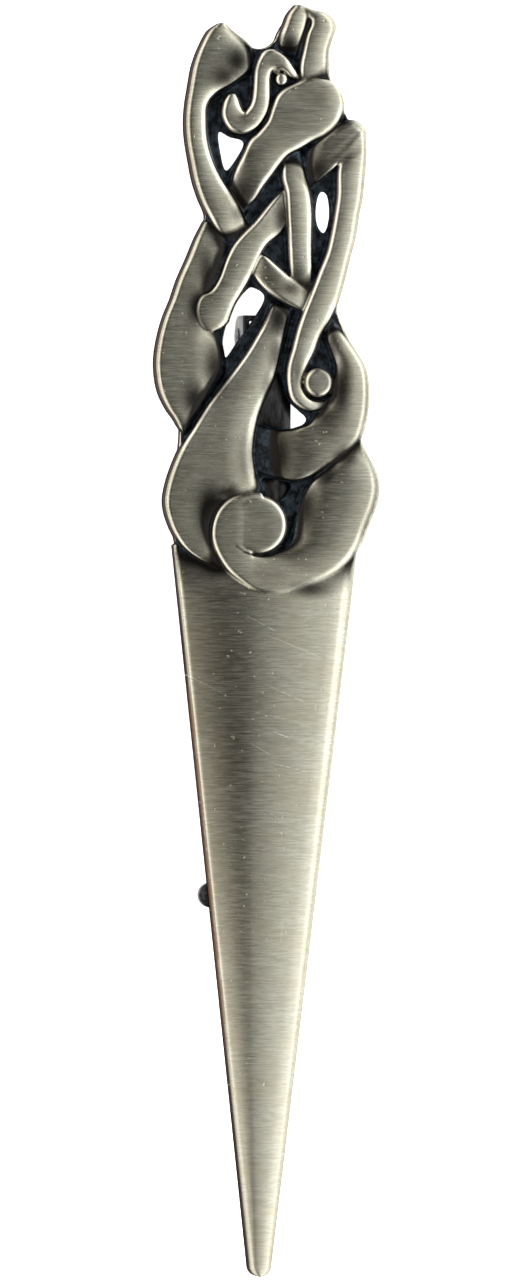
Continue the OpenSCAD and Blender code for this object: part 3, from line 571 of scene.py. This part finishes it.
# A copper-brown tint on the blade's left wall, high on it and over the middle of its length
copper_tint = maths(tree, "MULTIPLY", ranged(tree, to_right, -0.45, -0.8), ranged(tree, along, 1 * MM, -7 * MM))
copper_tint = maths(tree, "MULTIPLY", copper_tint, ranged(tree, along, -37 * MM, -26 * MM))
copper_tint = maths(tree, "MULTIPLY", copper_tint, ranged(tree, height, (BACK_Z + 0.75) * MM, (BACK_Z + 0.95) * MM))
copper_tint = maths(tree, "MULTIPLY", copper_tint, ranged(tree, cloud, 0.3, 0.5, 0.3, 0.75))
plate = mixed(tree, copper_tint, plate, hexa("#5f4536"))
# Fine scratches across the brushing: (across, along, length) in millimetres, turn in degrees, brightness
SCRATCHES = (
    (-0.4, 1.3, 3.4, -28, 0.8), (2.3, -0.5, 5.5, -22, 0.35), (-4.6, -3.6, 5.2, -27, 0.5),
    (-6.5, -4.0, 0.8, 52, 0.8), (1.6, -4.2, 4.2, -24, 0.45), (0.3, -5.9, 3.0, -12, 0.5),
    (1.2, -7.4, 1.4, -20, 0.8), (-0.3, -8.6, 2.6, -30, 0.5), (2.0, -10.0, 3.6, -14, 0.45),
    (-6.0, -12.3, 2.6, -26, 0.4), (-5.2, -16.0, 0.7, 50, 0.5), (0.8, -13.8, 2.0, -32, 0.3),
    (2.6, 11.9, 0.9, -26, 0.8), (-0.6, 37.2, 1.0, -62, 0.4),
)


def strokes(table, half_width):
    """1 along each stroke of a table like the scratches', fading at its ends and sides."""
    found = 0.0
    for x, y, length, turn, strength in table:
        local = put(tree, "ShaderNodeMapping", {"vector_type": "TEXTURE"}, {
            "Vector": place, "Location": (x * MM, y * MM, 0), "Rotation": (0, 0, math.radians(turn)),
            "Scale": (length / 2 * MM, half_width * MM, 1)})
        ends = put(tree, "ShaderNodeSeparateXYZ", links={"Vector": local.outputs[0]})
        off = [maths(tree, "ABSOLUTE", ends.outputs[axis], 0.0) for axis in ("X", "Y")]
        line = maths(tree, "MULTIPLY", ranged(tree, off[0], 1.0, 0.6), ranged(tree, off[1], 1.0, 0.2))
        found = maths(tree, "MAXIMUM", maths(tree, "MULTIPLY", line, strength), found)
    return found


scratched = strokes(SCRATCHES, 0.05)
broken = ranged(tree, pattern(tree, place, (3, 3, 3), 2, 0.6, (6, 2, 8)), 0.35, 0.6)
plate = mixed(tree, maths(tree, "MULTIPLY", scratched, broken), plate, hexa("#f3f1e6"))
# Specks of dust and bright nicks
nicks = ranged(tree, pattern(tree, place, (4.2, 4.2, 4.2), 1, 0.5, (5, 5, 1)), 0.8, 0.83)
plate = mixed(tree, maths(tree, "MULTIPLY", nicks, 0.7), plate, hexa("#f3f1e6"))
plate = mixed(tree, patina, plate, hexa("#1e1c1a"))
# The crease of the spiral runs on as a dark line round the foot of its eye, in a table like the scratches'
CREASES = ((-1.45, 6.77, 1.2, -20, 0.9), (-2.15, 7.15, 1.1, -36, 0.6))
plate = mixed(tree, strokes(CREASES, 0.16), plate, hexa("#1e1c1a"))
# The web is black with a blue bloom, and its rims get a painted grey highlight
web = mixed(tree, ranged(tree, rough_cast, 0.35, 0.65), hexa("#0b0e12"), hexa("#2b343d"))
rim_highlight = ranged(tree, maths(tree, "MULTIPLY", near, -1.0), 0.02, 0.1, 0.0, 0.6)
web = mixed(tree, rim_highlight, web, hexa("#6f7d86"))
plate = mixed(tree, deep, plate, web)
dull = ranged(tree, brush, 0.35, 0.65, 0.17, 0.25, False)
dull = maths(tree, "ADD", dull, maths(tree, "MULTIPLY", patina, 0.12))
dull = maths(tree, "ADD", dull, ranged(tree, along, -8 * MM, -40 * MM, 0.0, 0.14, False))
grain = put(tree, "ShaderNodeBump", links={"Strength": 0.35, "Distance": 0.012 * MM, "Height": brush})
# The web keeps the unbrushed, slightly uneven skin of the casting
grain = put(tree, "ShaderNodeBump", links={
    "Strength": deep, "Distance": 0.09 * MM, "Height": rough_cast, "Normal": grain.outputs[0]})
pits = ranged(tree, pattern(tree, place, (2.6, 2.6, 2.6), 2, 0.5, (1, 5, 2)), 0.7, 0.78)
grain = put(tree, "ShaderNodeBump", {"invert": True}, {
    "Strength": 0.4, "Distance": 0.03 * MM, "Height": pits, "Normal": grain.outputs[0]})
# The painted wall shade also turns the walls' metal and specular down, so edge on they don't mirror the white
# table
bright = maths(tree, "MULTIPLY_ADD", deep, -0.35, 1.0)
bright = maths(tree, "MULTIPLY", maths(tree, "SUBTRACT", 1.0, wall_shade), bright)
metal = put(tree, "ShaderNodeBsdfPrincipled", links={
    "Base Color": plate, "Metallic": bright, "Specular Tint": hexa("#b3aea6"),
    "Specular IOR Level": maths(tree, "MULTIPLY_ADD", wall_shade, -0.5, 0.5),
    "Roughness": dull, "Normal": grain.outputs[0]})
put(tree, "ShaderNodeOutputMaterial", links={"Surface": metal.outputs[0]})
mesh.materials.clear()
mesh.materials.append(pewter)
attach(casting, "brooch")
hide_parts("casting")


# Fitting: a stamped steel strip with folded hinge ears and a slotted catch tube, a rivet through the ears,
# the pointed wire that turns on it, and a turned lock with a round thumb tab. All are dark nickel over
# steel, held to the casting by its two peened pegs.
def eased(node, width, name):
    """A copy of a CAD piece with its sharp edges eased by that width in millimetres."""
    bm = bmesh.new()
    bm.from_mesh(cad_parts[node].data)
    bmesh.ops.remove_doubles(bm, verts=bm.verts, dist=1e-7)
    bmesh.ops.dissolve_limit(bm, angle_limit=math.radians(1), verts=bm.verts, edges=bm.edges)
    sharp = [e for e in bm.edges if e.is_manifold and e.calc_face_angle(0) > math.radians(35)]
    bmesh.ops.bevel(
        bm, geom=sharp, offset=width * MM, offset_type="OFFSET", affect="EDGES", segments=2, profile=0.5,
        material=-1, clamp_overlap=True,
    )
    bmesh.ops.recalc_face_normals(bm, faces=bm.faces)
    made = bpy.data.meshes.new(name)
    bm.to_mesh(made)
    bm.free()
    made.polygons.foreach_set("use_smooth", [True] * len(made.polygons))
    made.set_sharp_from_angle(angle=math.radians(32))
    piece = bpy.data.objects.new(name, made)
    bpy.context.scene.collection.objects.link(piece)
    return piece


def steel(name, tone, dark, roughness, scale):
    """Plated steel with fine drawn lines and a darker cloud of handling tarnish."""
    made, tree = new_material(name)
    place = put(tree, "ShaderNodeTexCoord").outputs["Object"]
    lines = pattern(tree, place, scale, 4, 0.6)
    tarnish = pattern(tree, place, (0.5, 0.5, 0.5), 4, 0.6, (3, 8, 1))
    colour = mixed(tree, ranged(tree, lines, 0.4, 0.6), hexa(tone), hexa(dark))
    colour = mixed(tree, ranged(tree, tarnish, 0.45, 0.7, 0.0, 0.7), colour, hexa(dark))
    grain = put(tree, "ShaderNodeBump", links={"Strength": 0.3, "Distance": 0.01 * MM, "Height": lines})
    rough = maths(tree, "ADD", roughness - 0.08, maths(tree, "MULTIPLY", tarnish, 0.16))
    metal = put(tree, "ShaderNodeBsdfPrincipled", links={
        "Base Color": colour, "Metallic": 1.0, "Roughness": rough, "Normal": grain.outputs[0]})
    put(tree, "ShaderNodeOutputMaterial", links={"Surface": metal.outputs[0]})
    return made


# Each piece as (node, body, finish, width of its eased edges, tone, darker tone, roughness, grain per
# millimetre)
FITTING = (
    ("back_bar", "brooch", "dark_steel", 0.05, "#525353", "#383939", 0.26, (3, 0.9, 3)),
    ("hinge_rivet", "brooch", "rivet_steel", 0.04, "#77767c", "#4b4a50", 0.34, (3, 3, 3)),
    ("pin_tongue", "tongue", "pin_wire", 0.04, "#85858a", "#5f5f64", 0.3, (9, 0.5, 9)),
    ("catch_rotor", "lock", "catch_steel", 0.06, "#5b5a60", "#38373c", 0.36, (4, 4, 4)),
)
for node, body, finish, width, tone, dark, roughness, scale in FITTING:
    piece = eased(node, width, node + "_eased")
    piece.data.materials.append(steel(finish, tone, dark, roughness, scale))
    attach(piece, body)
    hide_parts(node)

# Table: a plain sheet of white paper that the pin lies on, over a light table that shines through it, so the
# ground stays white up to the pin's outline as in the photo
TABLE_GLOW = 0.75
TABLE_HALF = 0.6
bm = bmesh.new()
bmesh.ops.create_grid(bm, x_segments=1, y_segments=1, size=TABLE_HALF)
sheet = bpy.data.meshes.new("table_top")
bm.to_mesh(sheet)
bm.free()
table = bpy.data.objects.new("table_top", sheet)
bpy.context.scene.collection.objects.link(table)
white, tree = new_material("white_sheet")
place = put(tree, "ShaderNodeTexCoord").outputs["Object"]
tooth = pattern(tree, place, (2, 2, 2), 2)
paper = put(tree, "ShaderNodeBsdfPrincipled", links={
    "Base Color": mixed(tree, tooth, hexa("#f7f7f7"), hexa("#fbfbfb")), "Roughness": 0.9,
    "Emission Color": hexa("#ffffff"), "Emission Strength": TABLE_GLOW})
put(tree, "ShaderNodeOutputMaterial", links={"Surface": paper.outputs[0]})
sheet.materials.append(white)

# Light: two great soft boxes, the right one brighter, with a dim gap between them above the camera. The
# stops give red, green and blue by how far to the right a direction points, from -1 at the left horizon
# to 1 at the right one.
ROOM_GLOW = 2.4
ROOM_STOPS = (
    (-1.0, 0.45, 0.43, 0.4), (-0.8, 0.98, 0.96, 0.92), (-0.6, 0.92, 0.89, 0.84), (-0.4, 0.54, 0.51, 0.47),
    (-0.2, 0.28, 0.265, 0.24), (-0.08, 0.08, 0.077, 0.07), (-0.01, 0.004, 0.004, 0.004),
    (0.07, 0.004, 0.004, 0.004), (0.14, 0.08, 0.08, 0.077), (0.2, 0.2, 0.2, 0.195), (0.3, 0.4, 0.405, 0.39),
    (0.42, 0.66, 0.67, 0.66), (0.65, 1.2, 1.2, 1.18), (0.93, 1.0, 1.0, 1.0), (1.0, 0.5, 0.5, 0.5),
)
world = bpy.data.worlds.new("room")
bpy.context.scene.world = world
world.use_nodes = True
tree = world.node_tree
tree.nodes.clear()
facing = put(tree, "ShaderNodeSeparateXYZ", links={
    "Vector": put(tree, "ShaderNodeTexCoord").outputs["Generated"]}).outputs["X"]
ramp = put(tree, "ShaderNodeValToRGB", links={"Fac": maths(tree, "MULTIPLY_ADD", facing, 0.5, 0.5)})
stops = ramp.color_ramp
stops.interpolation = "LINEAR"
while len(stops.elements) < len(ROOM_STOPS):
    stops.elements.new(0.5)
for stop, (x, *tone) in zip(stops.elements, ROOM_STOPS):
    stop.position = (x + 1) / 2
    stop.color = (*tone, 1)
glow = put(tree, "ShaderNodeBackground", links={"Color": ramp.outputs["Color"], "Strength": ROOM_GLOW})
put(tree, "ShaderNodeOutputWorld", links={"Surface": glow.outputs[0]})

# Camera: nearly straight above, a little to the left and far off with a long lens. Its picture is as high as
# the photo, in pixels, at the photo's pixels for each millimetre.
LEFT = math.radians(8.5)
TURN = math.radians(0.45)
FAR = 1.0
PHOTO_H = 1280
PIXELS_PER_MM = 12.74
PICTURE_H = PHOTO_H / PIXELS_PER_MM * MM
SENSOR_H = 24
side = Vector((math.cos(LEFT), 0, math.sin(LEFT)))
up = Vector((0, 1, 0))
right = side * math.cos(TURN) + up * math.sin(TURN)
up = up * math.cos(TURN) - side * math.sin(TURN)
back = right.cross(up)
target = Vector((-0.313, 0, 5.5)) * MM
lens = bpy.data.cameras.new("camera")
lens.sensor_fit = "VERTICAL"
lens.sensor_height = SENSOR_H
lens.lens = SENSOR_H * FAR / PICTURE_H
lens.clip_start = 0.05
lens.clip_end = 10
camera = bpy.data.objects.new("camera", lens)
turned_to = Matrix((right, up, back)).transposed().to_4x4()
camera.matrix_world = Matrix.Translation(target + back * FAR) @ turned_to
bpy.context.scene.collection.objects.link(camera)
bpy.context.scene.camera = camera
bpy.context.scene.view_settings.view_transform = "Standard"
